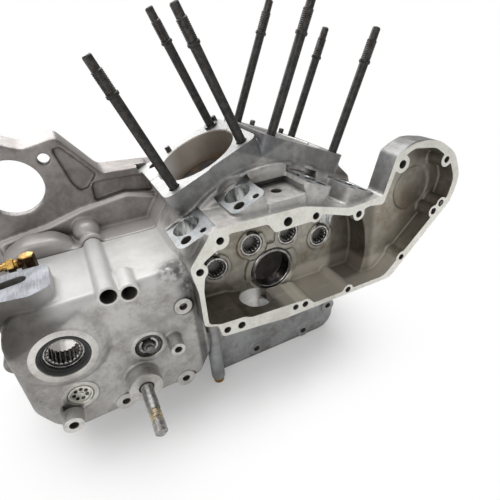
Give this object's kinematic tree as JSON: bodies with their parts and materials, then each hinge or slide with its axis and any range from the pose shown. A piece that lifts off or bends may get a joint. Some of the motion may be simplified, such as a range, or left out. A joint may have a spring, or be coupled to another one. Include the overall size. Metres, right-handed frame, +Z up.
{
  "type": "motorcycle engine crankcase",
  "caption": "V-twin motorcycle crankcase halves bolted together, open cam chest and gearbox side, cylinder studs standing on both decks",
  "frame": {"origin": "centre of the flat base, straight below the crank axis, on the centre line of the cylinders", "axes": "+X points to the front of the engine, +Y to its left (primary) side, +Z up"},
  "size_m": [0.5287, 0.248, 0.3901],
  "materials": {
    "cast_right": "cast, with machined faces",
    "cast_left": "cast, darkened",
    "black_studs": "black oxide",
    "bright_steel": "worn steel",
    "dark_steel": "hardened, dark",
    "seal_rubber": "matte",
    "brass": "dull"
  },
  "bodies": {
    "case": {"broken_screw": "dark_steel", "cam_bearing_1": "bright_steel", "cam_bearing_2": "bright_steel", "cam_bearing_3": "bright_steel", "cam_bearing_4": "bright_steel", "case_screw_1": "bright_steel", "case_screw_2": "bright_steel", "case_screw_3": "bright_steel", "case_screw_4": "bright_steel", "case_screw_5": "bright_steel", "case_screw_6": "bright_steel", "countershaft_bearing": "bright_steel", "drain_plug": "brass", "front_dowel_1": "dark_steel", "front_dowel_2": "dark_steel", "front_stud_1": "black_studs", "front_stud_2": "black_studs", "front_stud_3": "black_studs", "front_stud_4": "black_studs", "left_crankcase": "cast_left", "mainshaft_bearing": "bright_steel", "mainshaft_seal": "seal_rubber", "pinion_race": "dark_steel", "pivot_stud": "bright_steel", "rear_dowel_1": "dark_steel", "rear_dowel_2": "dark_steel", "rear_stud_1": "black_studs", "rear_stud_2": "black_studs", "rear_stud_3": "black_studs", "right_crankcase": "cast_right", "shift_bushing": "dark_steel", "sprocket_race": "dark_steel", "stud_washer": "dark_steel", "vent_fitting": "brass", "vent_pipe": "brass"},
    "cam_rollers_1": {"cam_rollers_1": "dark_steel"},
    "cam_rollers_2": {"cam_rollers_2": "dark_steel"},
    "cam_rollers_3": {"cam_rollers_3": "dark_steel"},
    "cam_rollers_4": {"cam_rollers_4": "dark_steel"},
    "mainshaft_rollers": {"mainshaft_rollers": "dark_steel"},
    "countershaft_rollers": {"countershaft_rollers": "dark_steel"},
    "shift_shaft": {"shift_shaft": "bright_steel"}
  },
  "joints": [
    {"name": "cam_rollers_1_spin", "type": "hinge", "parent": "case", "child": "cam_rollers_1", "pos_m": [-0.066, -0.0595, 0.148], "axis": [0, 1, 0], "continuous": true},
    {"name": "cam_rollers_2_spin", "type": "hinge", "parent": "case", "child": "cam_rollers_2", "pos_m": [-0.023, -0.0595, 0.164], "axis": [0, 1, 0], "continuous": true},
    {"name": "cam_rollers_3_spin", "type": "hinge", "parent": "case", "child": "cam_rollers_3", "pos_m": [0.023, -0.0595, 0.164], "axis": [0, 1, 0], "continuous": true},
    {"name": "cam_rollers_4_spin", "type": "hinge", "parent": "case", "child": "cam_rollers_4", "pos_m": [0.066, -0.0595, 0.148], "axis": [0, 1, 0], "continuous": true},
    {"name": "mainshaft_rollers_spin", "type": "hinge", "parent": "case", "child": "mainshaft_rollers", "pos_m": [-0.225, -0.0867, 0.132], "axis": [0, 1, 0], "continuous": true},
    {"name": "countershaft_rollers_spin", "type": "hinge", "parent": "case", "child": "countershaft_rollers", "pos_m": [-0.226, -0.088, 0.078], "axis": [0, 1, 0], "continuous": true},
    {"name": "shift_turn", "type": "hinge", "parent": "case", "child": "shift_shaft", "pos_m": [-0.1545, -0.088, 0.105], "axis": [0, 1, 0], "range_deg": [-15, 15]}
  ]
}
